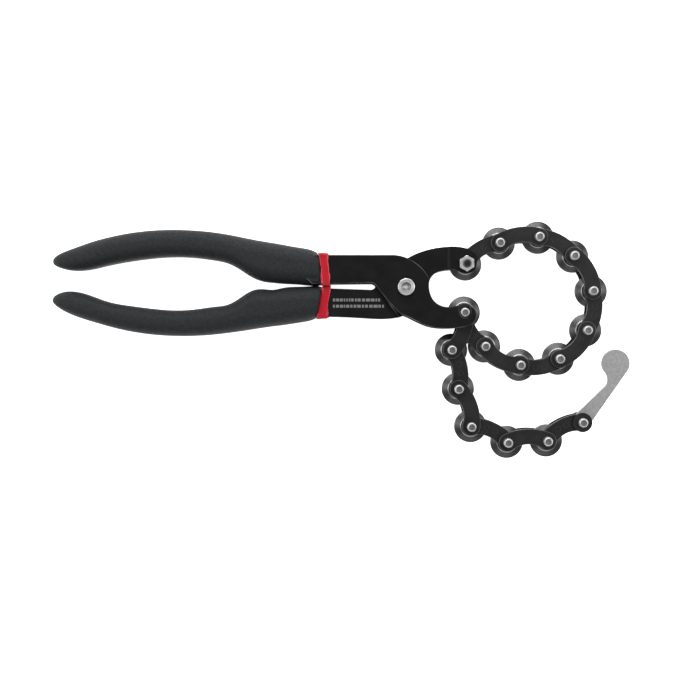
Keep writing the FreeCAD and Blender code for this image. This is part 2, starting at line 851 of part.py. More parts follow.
def make_handles():
    cover = size("band_cover") - 0.2
    front = size("band_front")
    hook_plates = [make_hook_plate(side) for side in (1, -1)]
    chain_plates = [make_chain_plate(side) for side in (1, -1)]
    upper_rivets = make_tang_rivets("upper_tang_rivets", UPPER_GRIP, "hook_lever_top")
    lower_rivets = make_tang_rivets("lower_tang_rivets", LOWER_GRIP, "chain_lever_top")
    high = size("arm_top") + cover
    low = size("arm_slot_top") - cover
    corners = band_corners(high + 0.4, low, UPPER_FRONT_TILT, front - 0.8, front + 1.1)
    upper_blank = make_band_blank("upper_band_blank", corners, "hook_lever_top")
    mould_round("upper_band", upper_blank, hook_plates)
    high = size("arm_slot_bottom") + cover
    low = size("arm_bottom") - cover
    corners = band_corners(-low + 0.4, -high, -LOWER_FRONT_TILT, front - 1.1, front + 1.1)
    corners = [(x, -y) for x, y in corners]
    lower_blank = make_band_blank("lower_band_blank", corners, "chain_lever_top")
    mould_round("lower_band", lower_blank, chain_plates)
    upper_grip = make_grip_blank("upper_grip_blank", UPPER_GRIP)
    mould_round("upper_grip", upper_grip, hook_plates + [upper_rivets])
    lower_grip = make_grip_blank("lower_grip_blank", LOWER_GRIP)
    mould_round("lower_grip", lower_grip, chain_plates + [lower_rivets])


# ---------------------------------------------------------------- tail

def tail_outline():
    """Flat handle in its own frame: pin at 0, knob on +X, straight right edge, hollow left edge."""
    length = size("tail_length")
    knob = size("tail_knob_radius")
    root = size("tail_root_radius")
    lean = math.asin((knob - root) / length)
    right = Vector(math.sin(lean), -math.cos(lean), 0)
    center = Vector(length, 0, 0)
    left_root = Vector(math.cos(math.radians(73)), math.sin(math.radians(73)), 0) * root
    neck = Vector(length - 14.2, -1.6, 0)
    neck_bend = Vector(length - 10.9, -1.0, 0)
    knob_start = center + Vector(math.cos(math.radians(150)), math.sin(math.radians(150)), 0) * knob
    start = right * root
    steps = [
        line_to(center + right * knob),
        arc_to(center + Vector(knob, 0, 0), knob_start),
        curve_to(neck_bend, neck, arrive=left_root - neck),
        line_to(left_root),
        arc_to(Vector(-root, 0, 0), start),
    ]
    return start, steps


def make_tail_handle():
    body = new_node("tail_handle")
    put_at_pin(body, LINKS, "Sizes.tail_heading")
    sketch = new_sketch(body, "outline", offset="-Sizes.tail_half_thickness")
    add_outline(sketch, *tail_outline())
    add_bound_circle(sketch, "0", "0", "Layout.bore_radius")
    pad = add_pad(body, sketch, "2 * Sizes.tail_half_thickness")
    level = size("tail_half_thickness")
    add_rounds(body, pad, (level, -level))


def make_ring_pair(label, low, high, outer, bore):
    """Two equal rings, one on each side of the mid-plane, on the last pin."""
    body = new_node(label)
    put_at_pin(body, LINKS)
    for side in (1, -1):
        offset = low if side > 0 else f"-({high})"
        ring = new_sketch(body, "front" if side > 0 else "rear", offset=offset)
        add_bound_circle(ring, "0", "0", outer)
        add_bound_circle(ring, "0", "0", bore)
        add_pad(body, ring, f"{high} - {low}")


def make_tail():
    make_tail_handle()
    make_ring_pair("tail_spacers", "Layout.spacer_low", "Layout.inner_low",
                   "Sizes.spacer_radius", "Sizes.pin_radius")
    make_ring_pair("tail_washers", "Layout.inner_top", "Layout.outer_top",
                   "Sizes.washer_radius", "Sizes.pin_radius")
    body = new_node("tail_pin")
    put_at_pin(body, LINKS)
    sketch = new_sketch(body, "shank", offset="-Layout.pin_top")
    add_bound_circle(sketch, "0", "0", "Sizes.pin_radius")
    pad = add_pad(body, sketch, "2 * Layout.pin_top")
    add_end_chamfers(body, pad, place("pin_top"))


# ---------------------------------------------------------------- checks and files

def check_document():
    doc.recompute()
    for item in doc.Objects:
        if "Invalid" in item.State or "Error" in item.State:
            raise RuntimeError(f"{item.Name} failed: {item.State}")
    for node in nodes:
        shape = node.Shape
        if shape.isNull() or not shape.isValid() or not shape.Solids:
            raise RuntimeError(f"{node.Label} has no valid solid")


def write_files():
    os.makedirs("parts", exist_ok=True)
    for node in nodes:
        node.Shape.exportStep(f"parts/{node.Label}.step")


fill_sheets()
make_handles()
make_pivot_rivet()
make_pivot_bush()
make_anchor_bolt()
make_anchor_nut()
make_nut_insert()
make_chain()
make_tail()
check_document()
write_files()
print(f"{len(nodes)} pieces written")
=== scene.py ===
import json
import math
import random

import bmesh
import bpy
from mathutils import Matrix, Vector, noise


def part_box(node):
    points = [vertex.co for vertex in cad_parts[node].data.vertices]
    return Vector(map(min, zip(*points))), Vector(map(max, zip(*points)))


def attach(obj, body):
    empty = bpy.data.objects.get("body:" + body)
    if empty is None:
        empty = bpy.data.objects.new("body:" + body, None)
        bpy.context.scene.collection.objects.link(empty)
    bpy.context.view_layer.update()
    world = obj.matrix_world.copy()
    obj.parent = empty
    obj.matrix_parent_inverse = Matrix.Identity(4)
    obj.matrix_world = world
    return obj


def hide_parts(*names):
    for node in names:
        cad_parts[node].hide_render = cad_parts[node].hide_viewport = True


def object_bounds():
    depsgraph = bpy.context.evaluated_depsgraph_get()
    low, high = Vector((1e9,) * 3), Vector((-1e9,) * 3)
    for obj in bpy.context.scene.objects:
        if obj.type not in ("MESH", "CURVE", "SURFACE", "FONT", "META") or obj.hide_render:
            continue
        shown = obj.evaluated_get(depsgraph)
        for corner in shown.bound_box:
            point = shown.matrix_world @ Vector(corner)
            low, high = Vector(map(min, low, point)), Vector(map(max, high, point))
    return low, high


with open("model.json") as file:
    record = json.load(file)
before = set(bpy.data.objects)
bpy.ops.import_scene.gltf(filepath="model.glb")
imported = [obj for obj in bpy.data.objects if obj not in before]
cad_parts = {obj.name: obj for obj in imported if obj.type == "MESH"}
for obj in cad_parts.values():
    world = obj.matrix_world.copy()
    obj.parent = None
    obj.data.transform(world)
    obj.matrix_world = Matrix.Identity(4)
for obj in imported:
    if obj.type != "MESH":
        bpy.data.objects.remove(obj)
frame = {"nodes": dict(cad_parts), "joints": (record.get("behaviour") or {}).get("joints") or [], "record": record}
cad_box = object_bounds()

MM = 0.001
LINKS = 15
TURNED_STEPS = 96
MERGE_DISTANCE = 0.000002
PIN_RADIUS_MM = 2.6
WHEEL_BORE_MM = 2.65
ORIGIN = (0.0, 0.0, 0.0)

NODES = frame["nodes"]
JOINTS = {joint["name"]: joint for joint in frame["joints"]}

# ---------------------------------------------------------------- places from the frame

PIVOT_LOW, PIVOT_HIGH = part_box("pivot_rivet")
MIDDLE = (PIVOT_LOW.z + PIVOT_HIGH.z) / 2


def pin_place(number):
    """Centre of a chain pin, on the mid-plane of the chain. Pin 0 anchors the chain."""
    name = "tail_handle_hinge" if number == LINKS else f"link_{number + 1:02d}_hinge"
    return Vector(JOINTS[name]["pos_m"])


# ---------------------------------------------------------------- shader building blocks

def new_group(name, inputs, outputs):
    group = bpy.data.node_groups.new(name, "ShaderNodeTree")
    for label, value in inputs.items():
        socket = group.interface.new_socket(label, in_out="INPUT", socket_type="NodeSocketFloat")
        socket.default_value = value
    for label in outputs:
        group.interface.new_socket(label, in_out="OUTPUT", socket_type="NodeSocketFloat")
    start = group.nodes.new("NodeGroupInput")
    end = group.nodes.new("NodeGroupOutput")
    return group, start, end


def add_noise(tree, scale, detail=2.0, roughness=0.5, vector=None):
    cloud = tree.nodes.new("ShaderNodeTexNoise")
    cloud.inputs["Detail"].default_value = detail
    cloud.inputs["Roughness"].default_value = roughness
    if isinstance(scale, float):
        cloud.inputs["Scale"].default_value = scale
    else:
        tree.links.new(scale, cloud.inputs["Scale"])
    if vector:
        tree.links.new(vector, cloud.inputs["Vector"])
    return cloud.outputs["Fac"]


def add_math(tree, operation, first, second=None, third=None):
    node = tree.nodes.new("ShaderNodeMath")
    node.operation = operation
    for index, value in enumerate((first, second, third)):
        if value is None:
            continue
        if isinstance(value, (int, float)):
            node.inputs[index].default_value = value
        else:
            tree.links.new(value, node.inputs[index])
    return node.outputs[0]


def add_range(tree, value, low, high, to_low=0.0, to_high=1.0):
    node = tree.nodes.new("ShaderNodeMapRange")
    node.inputs["From Min"].default_value = low
    node.inputs["From Max"].default_value = high
    node.inputs["To Min"].default_value = to_low
    node.inputs["To Max"].default_value = to_high
    tree.links.new(value, node.inputs["Value"])
    return node.outputs["Result"]


def make_surface_grain():
    """Fine grain and broad mottling, in the piece's own coordinates."""
    group, start, end = new_group("surface_grain", {"Fine Scale": 2500.0, "Broad Scale": 120.0},
                                  ["Fine", "Broad"])
    place = group.nodes.new("ShaderNodeTexCoord").outputs["Object"]
    fine = add_noise(group, start.outputs["Fine Scale"], 4.0, 0.6, place)
    broad = add_noise(group, start.outputs["Broad Scale"], 3.0, 0.55, place)
    group.links.new(fine, end.inputs["Fine"])
    group.links.new(broad, end.inputs["Broad"])
    return group


def make_sand_texture():
    """The fine sandy skin of moulded grips: small pits and grains of uneven size."""
    group, start, end = new_group("sand_texture", {"Scale": 1900.0}, ["Height", "Speckle"])
    place = group.nodes.new("ShaderNodeTexCoord").outputs["Object"]
    cells = group.nodes.new("ShaderNodeTexVoronoi")
    cells.feature = "SMOOTH_F1"
    group.links.new(start.outputs["Scale"], cells.inputs["Scale"])
    group.links.new(place, cells.inputs["Vector"])
    grain = add_noise(group, 3300.0, 3.0, 0.6, place)
    patch = add_noise(group, 420.0, 2.0, 0.5, place)
    height = add_math(group, "MULTIPLY_ADD", grain, 0.6, cells.outputs["Distance"])
    speckle = add_math(group, "MULTIPLY_ADD", patch, 0.16, grain)
    group.links.new(height, end.inputs["Height"])
    group.links.new(speckle, end.inputs["Speckle"])
    return group


def make_turned_rings():
    """Concentric tool marks round the piece's own Z axis."""
    group, start, end = new_group("turned_rings", {"Pitch": 0.00035, "Wobble": 0.4}, ["Rings", "Radius"])
    place = group.nodes.new("ShaderNodeTexCoord").outputs["Object"]
    parts = group.nodes.new("ShaderNodeSeparateXYZ")
    group.links.new(place, parts.inputs[0])
    square_x = add_math(group, "MULTIPLY", parts.outputs["X"], parts.outputs["X"])
    square_both = add_math(group, "MULTIPLY_ADD", parts.outputs["Y"], parts.outputs["Y"], square_x)
    radius = add_math(group, "SQRT", square_both)
    turns = add_math(group, "DIVIDE", radius, start.outputs["Pitch"])
    shift = add_noise(group, 300.0, 2.0, 0.5, place)
    wobble = add_math(group, "MULTIPLY", shift, start.outputs["Wobble"])
    phase = add_math(group, "ADD", turns, wobble)
    wave = add_math(group, "SINE", add_math(group, "MULTIPLY", phase, 2 * math.pi))
    rings = add_math(group, "MULTIPLY_ADD", wave, 0.5, 0.5)
    group.links.new(rings, end.inputs["Rings"])
    group.links.new(radius, end.inputs["Radius"])
    return group


def make_edge_mask():
    """One on the small rounds between a plate's faces and its sides, nought elsewhere."""
    group, start, end = new_group("edge_mask", {"Width": 0.06}, ["Edge"])
    normal = group.nodes.new("ShaderNodeTexCoord").outputs["Normal"]
    parts = group.nodes.new("ShaderNodeSeparateXYZ")
    group.links.new(normal, parts.inputs[0])
    upright = add_math(group, "ABSOLUTE", parts.outputs["Z"])
    low_limit = add_math(group, "SUBTRACT", 0.995, start.outputs["Width"])
    off_face = add_math(group, "LESS_THAN", upright, low_limit)
    off_side = add_range(group, upright, 0.25, 0.6)
    edge = add_math(group, "MULTIPLY", off_face, off_side)
    group.links.new(edge, end.inputs["Edge"])
    return group


SURFACE_GRAIN = make_surface_grain()
EDGE_MASK = make_edge_mask()
SAND_TEXTURE = make_sand_texture()
TURNED_RINGS = make_turned_rings()


def new_material(name, metallic, roughness, **sockets):
    material = bpy.data.materials.new(name)
    material.use_nodes = True
    shader = material.node_tree.nodes["Principled BSDF"]
    shader.inputs["Metallic"].default_value = metallic
    shader.inputs["Roughness"].default_value = roughness
    for label, value in sockets.items():
        shader.inputs[label.replace("_", " ")].default_value = value
    return material, material.node_tree, shader


def place_group(tree, group, **values):
    node = tree.nodes.new("ShaderNodeGroup")
    node.node_tree = group
    for label, value in values.items():
        node.inputs[label.replace("_", " ")].default_value = value
    return node


def mix_colours(tree, factor, first, second):
    """Blend of two colours. The first is a colour or the output of another blend."""
    mix = tree.nodes.new("ShaderNodeMix")
    mix.data_type = "RGBA"
    tree.links.new(factor, mix.inputs["Factor"])
    if isinstance(first, tuple):
        mix.inputs["A"].default_value = (*first, 1.0)
    else:
        tree.links.new(first, mix.inputs["A"])
    mix.inputs["B"].default_value = (*second, 1.0)
    return mix.outputs["Result"]


def colour_shader(tree, shader, factor, first, second):
    tree.links.new(mix_colours(tree, factor, first, second), shader.inputs["Base Color"])


def add_bump(tree, shader, height, strength, distance):
    bump = tree.nodes.new("ShaderNodeBump")
    bump.inputs["Strength"].default_value = strength
    bump.inputs["Distance"].default_value = distance
    tree.links.new(height, bump.inputs["Height"])
    tree.links.new(bump.outputs["Normal"], shader.inputs["Normal"])


# ---------------------------------------------------------------- finishes

def oxide_steel(name, dark, light, painted_highlight, steepness, roughness, specular):
    """Blackened plate: fine grain, faint mottling, uneven gloss and a painted highlight on the edge rounds, uneven
    in patches.
    """
    material, tree, shader = new_material(name, 0.0, roughness, Specular_IOR_Level=specular)
    grain = place_group(tree, SURFACE_GRAIN, Fine_Scale=2600.0, Broad_Scale=110.0)
    edge = place_group(tree, EDGE_MASK, Width=steepness)
    # painted highlight: a lighter colour on the edge rounds, uneven in patches
    patchy = add_range(tree, grain.outputs["Broad"], 0.3, 0.6, 0.35, 1.0)
    edge_highlight_mask = add_math(tree, "MULTIPLY", edge.outputs["Edge"], patchy)
    blend = add_range(tree, grain.outputs["Broad"], 0.35, 0.65)
    colour_shader(tree, shader, edge_highlight_mask, mix_colours(tree, blend, dark, light), painted_highlight)
    gloss = add_range(tree, grain.outputs["Broad"], 0.3, 0.7, roughness - 0.05, roughness + 0.06)
    tree.links.new(gloss, shader.inputs["Roughness"])
    add_bump(tree, shader, grain.outputs["Fine"], 0.16, 0.0001)
    return material


def turned_steel():
    """Hardened wheels with lathe marks, with painted highlights on the hub shoulder and at the rim."""
    material, tree, shader = new_material("wheel_steel", 1.0, 0.36)
    rings = place_group(tree, TURNED_RINGS, Pitch=0.00042, Wobble=0.5)
    grain = place_group(tree, SURFACE_GRAIN, Fine_Scale=1800.0, Broad_Scale=260.0)
    tone = add_math(tree, "MULTIPLY_ADD", grain.outputs["Broad"], 0.5, rings.outputs["Rings"])
    blend = add_range(tree, tone, 0.1, 1.3, 0.0, 0.22)
    # painted highlight: a light ring on the hub shoulder and a lighter band at the rim
    past_hub = add_range(tree, rings.outputs["Radius"], 0.00560, 0.00575)
    before_cone = add_range(tree, rings.outputs["Radius"], 0.00605, 0.0062, 1.0, 0.0)
    shoulder = add_math(tree, "MULTIPLY", past_hub, before_cone)
    rim = add_range(tree, rings.outputs["Radius"], 0.0090, 0.0094, 0.0, 0.45)
    painted_highlight = add_math(tree, "MAXIMUM", shoulder, rim)
    bright = add_math(tree, "MAXIMUM", blend, painted_highlight)
    colour_shader(tree, shader, bright, (0.035, 0.035, 0.036), (0.30, 0.30, 0.305))
    gloss = add_range(tree, rings.outputs["Rings"], 0.0, 1.0, 0.3, 0.42)
    tree.links.new(gloss, shader.inputs["Roughness"])
    add_bump(tree, shader, rings.outputs["Rings"], 0.25, 0.00005)
    return material


def pin_steel():
    """Ground pins: bright chamfer, with painted shade darkening the turned end face."""
    material, tree, shader = new_material("pin_steel", 1.0, 0.3)
    rings = place_group(tree, TURNED_RINGS, Pitch=0.00055, Wobble=0.3)
    # painted shade: the flat end face is coloured darker than the chamfer
    shaded_end_face = add_range(tree, rings.outputs["Radius"], 0.00172, 0.00182, 1.0, 0.0)
    colour_shader(tree, shader, shaded_end_face, (0.50, 0.50, 0.50), (0.17, 0.17, 0.172))
    gloss = add_range(tree, shaded_end_face, 0.0, 1.0, 0.52, 0.45)
    tree.links.new(gloss, shader.inputs["Roughness"])
    add_bump(tree, shader, rings.outputs["Rings"], 0.12, 0.00005)
    return material


def plated_metal(name, dark, light, roughness, metallic, broad_scale):
    """Zinc plate: pale, softly mottled."""
    material, tree, shader = new_material(name, metallic, roughness)
    grain = place_group(tree, SURFACE_GRAIN, Fine_Scale=1500.0, Broad_Scale=broad_scale)
    tone = add_math(tree, "MULTIPLY_ADD", grain.outputs["Fine"], 0.4, grain.outputs["Broad"])
    blend = add_range(tree, tone, 0.5, 0.9)
    colour_shader(tree, shader, blend, dark, light)
    add_bump(tree, shader, grain.outputs["Fine"], 0.08, 0.0001)
    return material


def pivot_zinc():
    """The pivot rivet's face: a pale ring with fine circles round a dished socket, with painted shade in the
    socket and in the groove.
    """
    material, tree, shader = new_material("pivot_zinc", 0.85, 0.32)
    rings = place_group(tree, TURNED_RINGS, Pitch=0.00045, Wobble=0.25)
    radius = rings.outputs["Radius"]
    # painted shade: the dished socket is coloured darker, less so at its middle, and a dark line is painted in the
    # groove
    socket = add_range(tree, radius, 0.00255, 0.00275, 1.0, 0.0)
    middle = add_range(tree, radius, 0.0008, 0.0013, 1.0, 0.0)
    groove_in = add_range(tree, radius, 0.00345, 0.0036)
    groove_out = add_range(tree, radius, 0.0036, 0.00375, 1.0, 0.0)
    groove = add_math(tree, "MULTIPLY", groove_in, groove_out)
    shade = add_math(tree, "SUBTRACT", socket, middle)
    dark = add_math(tree, "MAXIMUM", add_math(tree, "MULTIPLY", shade, 0.85), groove)
    tone = add_math(tree, "MULTIPLY_ADD", rings.outputs["Rings"], 0.12, dark)
    colour_shader(tree, shader, tone, (0.74, 0.74, 0.73), (0.2, 0.2, 0.205))
    add_bump(tree, shader, rings.outputs["Rings"], 0.12, 0.00005)
    return material


def moulded_grip():
    """Black plastic with a fine sandy texture."""
    material, tree, shader = new_material("grip_plastic", 0.0, 0.58, Specular_IOR_Level=0.24)
    sand = place_group(tree, SAND_TEXTURE, Scale=1900.0)
    blend = add_range(tree, sand.outputs["Speckle"], 0.46, 0.74)
    colour_shader(tree, shader, blend, (0.0015, 0.0022, 0.0027), (0.021, 0.025, 0.028))
    add_bump(tree, shader, sand.outputs["Height"], 0.85, 0.00025)
    return material


def glossy_band():
    """Glossy red plastic, slightly uneven."""
    material, tree, shader = new_material("band_plastic", 0.0, 0.34, Specular_IOR_Level=0.3,
                                          Coat_Weight=0.35, Coat_Roughness=0.12)
    grain = place_group(tree, SURFACE_GRAIN, Fine_Scale=900.0, Broad_Scale=160.0)
    blend = add_range(tree, grain.outputs["Broad"], 0.3, 0.7)
    colour_shader(tree, shader, blend, (0.34, 0.004, 0.013), (0.42, 0.006, 0.018))
    add_bump(tree, shader, grain.outputs["Broad"], 0.25, 0.0004)
    return material


def nylon_ring():
    """The grey insert of the lock nut."""
    material, tree, shader = new_material("nylon", 0.0, 0.5)
    grain = place_group(tree, SURFACE_GRAIN, Fine_Scale=1500.0, Broad_Scale=300.0)
    colour_shader(tree, shader, grain.outputs["Broad"], (0.25, 0.26, 0.27), (0.36, 0.37, 0.38))
    add_bump(tree, shader, grain.outputs["Fine"], 0.1, 0.0001)
    return material


def painted_edge_highlight():
    """A painted highlight for the rims of blackened plates, uneven in patches."""
    material, tree, shader = new_material("painted_edge_highlight", 0.0, 0.45, Specular_IOR_Level=0.3)
    grain = place_group(tree, SURFACE_GRAIN, Fine_Scale=1800.0, Broad_Scale=90.0)
    blend = add_range(tree, grain.outputs["Broad"], 0.4, 0.62)
    colour_shader(tree, shader, blend, (0.008, 0.008, 0.008), (0.075, 0.075, 0.076))
    return material


def pale_print():
    """Worn pale ink."""
    material, tree, shader = new_material("pale_print", 0.0, 0.6)
    grain = place_group(tree, SURFACE_GRAIN, Fine_Scale=5000.0, Broad_Scale=900.0)
    blend = add_range(tree, grain.outputs["Fine"], 0.3, 0.7)
    colour_shader(tree, shader, blend, (0.08, 0.08, 0.08), (0.18, 0.18, 0.18))
    return material


FINISHES = {
    # the third colour of each blackened-steel finish is the painted highlight on its edge rounds
    "lever_steel": oxide_steel("lever_steel", (0.0040, 0.0040, 0.0042), (0.0058, 0.0058, 0.0060),
                               (0.085, 0.085, 0.086), 0.2, 0.48, 0.12),
    "link_steel": oxide_steel("link_steel", (0.0075, 0.0075, 0.0078), (0.0125, 0.0125, 0.0128),
                              (0.11, 0.11, 0.112), 0.05, 0.42, 0.26),
    "wheel_steel": turned_steel(),
    "pin_steel": pin_steel(),
    "zinc": plated_metal("zinc", (0.55, 0.55, 0.56), (0.74, 0.74, 0.74), 0.3, 0.8, 500.0),
    "pivot_zinc": pivot_zinc(),
    "tail_steel": plated_metal("tail_steel", (0.25, 0.25, 0.25), (0.345, 0.345, 0.345), 0.5, 0.5, 900.0),
    "grip_plastic": moulded_grip(),
    "band_plastic": glossy_band(),
    "nylon": nylon_ring(),
}
# painted highlight for the rims of the hook lever plates
PAINTED_EDGE_HIGHLIGHT = painted_edge_highlight()


def dress_nodes():
    """Gives every CAD node the finish of its slot."""
    for part in frame["record"]["subparts"]:
        mesh = NODES[part["node"]].data
        mesh.materials.clear()
        mesh.materials.append(FINISHES[part["material_slot"]])


# ---------------------------------------------------------------- pieces

def new_piece(name, mesh, place, body):
    piece = bpy.data.objects.new(name, mesh)
    bpy.context.scene.collection.objects.link(piece)
    piece.location = place
    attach(piece, body)
    return piece


def turned_mesh(name, profile, finish, sharp_degrees=25):
    """A closed solid turned from a half section of (radius, height) points, in millimetres."""
    points = []
    faces = []
    for radius, height in profile:
        for step in range(TURNED_STEPS):
            angle = 2 * math.pi * step / TURNED_STEPS
            points.append((radius * MM * math.cos(angle), radius * MM * math.sin(angle), height * MM))
    rows = len(profile)
    for row in range(rows):
        for step in range(TURNED_STEPS):
            after = (step + 1) % TURNED_STEPS
            low = row * TURNED_STEPS
            high = (row + 1) % rows * TURNED_STEPS
            faces.append((low + step, low + after, high + after, high + step))
    mesh = bpy.data.meshes.new(name)
    mesh.from_pydata(points, [], faces)
    mesh.materials.append(FINISHES[finish])
    for polygon in mesh.polygons:
        polygon.use_smooth = True
    mesh.set_sharp_from_angle(angle=math.radians(sharp_degrees))
    return mesh


def mirrored_profile(half):
    """The half section from the mid-plane up, and the same below it."""
    return [(radius, -height) for radius, height in reversed(half)] + half


def make_wheels():
    """Turned cutting wheels: a flat hub, a cone and a sharp rim."""
    low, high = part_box("cutting_wheel_01")
    rim = (high.x - low.x) / 2 / MM
    half = (high.z - low.z) / 2 / MM
    hub = 5.6
    outer_half = [
        (rim, 0.1),
        (rim - 0.12, 0.2),
        (rim - 1.2, half * 0.33),
        (hub + 0.5, half * 0.87),
        (hub + 0.2, half * 0.95),
        (hub - 0.05, half),
        (WHEEL_BORE_MM + 0.25, half),
        (WHEEL_BORE_MM, half - 0.25),
    ]
    mesh = turned_mesh("cutting_wheel", mirrored_profile(outer_half), "wheel_steel", 20)
    for number in range(1, LINKS + 1):
        place = pin_place(number - 1)
        wheel = new_piece(f"wheel_disc_{number:02d}", mesh, place, f"wheel_{number:02d}")
        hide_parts(f"cutting_wheel_{number:02d}")


def pin_mesh(name, half_length):
    face_radius = PIN_RADIUS_MM - 0.78
    outer_half = [
        (PIN_RADIUS_MM, half_length - 0.55),
        (PIN_RADIUS_MM - 0.1, half_length - 0.38),
        (face_radius + 0.06, half_length - 0.03),
        (face_radius - 0.06, half_length),
        (1.1, half_length - 0.05),
        (0.02, half_length - 0.12),
    ]
    return turned_mesh(name, mirrored_profile(outer_half), "pin_steel", 40)


def make_pins():
    low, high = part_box("link_pins_02")
    mesh = pin_mesh("chain_pin", (high.z - low.z) / 2 / MM)
    for number in range(2, LINKS + 1, 2):
        body = f"link_{number:02d}"
        first = new_piece(f"pin_{number - 1:02d}", mesh, pin_place(number - 1), body)
        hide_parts(f"link_pins_{number:02d}")
        new_piece(f"pin_{number:02d}", mesh, pin_place(number), body)
    last = new_piece("pin_15", mesh, pin_place(LINKS), "link_15")
    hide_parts("tail_pin")


def make_pivot():
    """Bright rivet: broad flat ring, faint circular tool marks, dished socket."""
    low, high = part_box("pivot_rivet")
    top = (high.z - low.z) / 2 / MM
    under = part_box("hook_lever_front")[1].z / MM - MIDDLE / MM
    head = (high.x - low.x) / 2 / MM
    shank = 3.6
    groove = 3.6
    outer_half = [
        (shank, under),
        (head, under + 0.02),
        (head, top - 0.3),
        (head - 0.1, top - 0.1),
        (head - 0.32, top),
        (groove + 0.15, top),
        (groove, top - 0.05),
        (groove - 0.15, top),
        (2.75, top),
        (2.6, top - 0.12),
        (2.15, top - 0.75),
        (1.5, top - 0.95),
        (0.02, top - 1.1),
    ]
    mesh = turned_mesh("pivot_rivet", mirrored_profile(outer_half), "pivot_zinc", 35)
    place = Vector((0.0, 0.0, MIDDLE))
    rivet = new_piece("pivot_rivet_turned", mesh, place, "chain_lever")
    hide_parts("pivot_rivet")


def cut_copy(node, back, front):
    """A copy of a steel piece, kept only between two planes across the tool."""
    work = bmesh.new()
    work.from_mesh(NODES[node].data)
    bmesh.ops.remove_doubles(work, verts=work.verts, dist=MERGE_DISTANCE)
    for place, way in ((front, 1.0), (back, -1.0)):
        everything = work.verts[:] + work.edges[:] + work.faces[:]
        cut = bmesh.ops.bisect_plane(work, geom=everything, plane_co=(place, 0.0, 0.0),
                                     plane_no=(way, 0.0, 0.0), clear_outer=True)
        rim = [item for item in cut["geom_cut"] if isinstance(item, bmesh.types.BMEdge)]
        if rim:
            bmesh.ops.holes_fill(work, edges=rim)
    mesh = bpy.data.meshes.new(f"{node}_cut")
    work.to_mesh(mesh)
    work.free()
    return mesh


def joined_mesh(node, inner_nodes, back, front):
    """A moulding and the steel inside it, in one mesh."""
    work = bmesh.new()
    work.from_mesh(NODES[node].data)
    bmesh.ops.remove_doubles(work, verts=work.verts, dist=MERGE_DISTANCE)
    for inner in inner_nodes:
        mesh = cut_copy(inner, back, front)
        work.from_mesh(mesh)
        bpy.data.meshes.remove(mesh)
    joined = bpy.data.meshes.new(f"{node}_joined")
    work.to_mesh(joined)
    work.free()
    return joined


def make_skin(node, body, slot, steel, voxel, rounds, swell, ripple):
    """A smooth, finely divided skin over a moulding, a little fuller sideways than its core."""
    low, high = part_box(node)
    steel_inset = 0.0012
    joined = joined_mesh(node, steel, low.x + steel_inset, high.x - steel_inset)
    copy = bpy.data.objects.new(f"{node}_shape", joined)
    bpy.context.scene.collection.objects.link(copy)
    remesh = copy.modifiers.new("remesh", "REMESH")
    remesh.mode = "VOXEL"
    remesh.voxel_size = voxel
    smooth = copy.modifiers.new("smooth", "SMOOTH")
    smooth.factor = 0.5
    smooth.iterations = rounds
    graph = bpy.context.evaluated_depsgraph_get()
    mesh = bpy.data.meshes.new_from_object(copy.evaluated_get(graph))
    bpy.data.objects.remove(copy)
    mesh.materials.clear()
    mesh.materials.append(FINISHES[slot])
    waves_per_metre = 230.0
    normals = [vertex.normal.copy() for vertex in mesh.vertices]
    for vertex, normal in zip(mesh.vertices, normals):
        wave = noise.noise(vertex.co * waves_per_metre)
        vertex.co.x += ripple * wave * normal.x
        vertex.co.y += (swell + ripple * wave * 0.5) * normal.y
    for polygon in mesh.polygons:
        polygon.use_smooth = True
    skin = new_piece(f"{node}_moulding", mesh, ORIGIN, body)
    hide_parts(node)


def make_grips_and_bands():
    levers = {"upper": "hook_lever", "lower": "chain_lever"}
    for place, lever in levers.items():
        plates = [f"{lever}_front", f"{lever}_rear"]
        rivets = f"{place}_tang_rivets"
        make_skin(f"{place}_grip", lever, "grip_plastic", plates + [rivets],
                  voxel=0.00045, rounds=9, swell=0.0003, ripple=0.0)
        make_skin(f"{place}_band", lever, "band_plastic", plates,
                  voxel=0.0003, rounds=7, swell=0.00056, ripple=0.0006)


def soften_edges(node, width, degrees=35):
    """A small round on the edges of a stamped plate."""
    piece = NODES[node]
    weld = piece.modifiers.new("weld", "WELD")
    weld.merge_threshold = MERGE_DISTANCE
    flats = piece.modifiers.new("whole_faces", "DECIMATE")
    flats.decimate_type = "DISSOLVE"
    flats.angle_limit = math.radians(0.3)
    bevel = piece.modifiers.new("edge_round", "BEVEL")
    bevel.width = width
    bevel.segments = 3
    bevel.limit_method = "ANGLE"
    bevel.angle_limit = math.radians(degrees)
    bevel.use_clamp_overlap = True
    normals = piece.modifiers.new("even_shading", "WEIGHTED_NORMAL")
    normals.keep_sharp = False


def face_outline(node, side):
    """Corners of a plate's outer face, each with the direction into the face."""
    work = bmesh.new()
    work.from_mesh(NODES[node].data)
    bmesh.ops.remove_doubles(work, verts=work.verts, dist=MERGE_DISTANCE)
    level = max(point.co.z * side for point in work.verts)
    edges = []
    inward = {}
    for edge in work.edges:
        if any(abs(point.co.z * side - level) > 0.00001 for point in edge.verts):
            continue
        faces = [face for face in edge.link_faces if abs(face.normal.z) > 0.99]
        if len(faces) != 1 or len(edge.link_faces) != 2:
            continue
        middle = (edge.verts[0].co + edge.verts[1].co) / 2
        along = (edge.verts[1].co - edge.verts[0].co).normalized()
        across = Vector((-along.y, along.x, 0.0))
        if across.dot(faces[0].calc_center_median() - middle) < 0:
            across = -across
        edges.append([point.co.copy().freeze() for point in edge.verts])
        for point in edges[-1]:
            inward[point] = inward.get(point, Vector()) + across
    work.free()
    return edges, {point: way.normalized() for point, way in inward.items()}


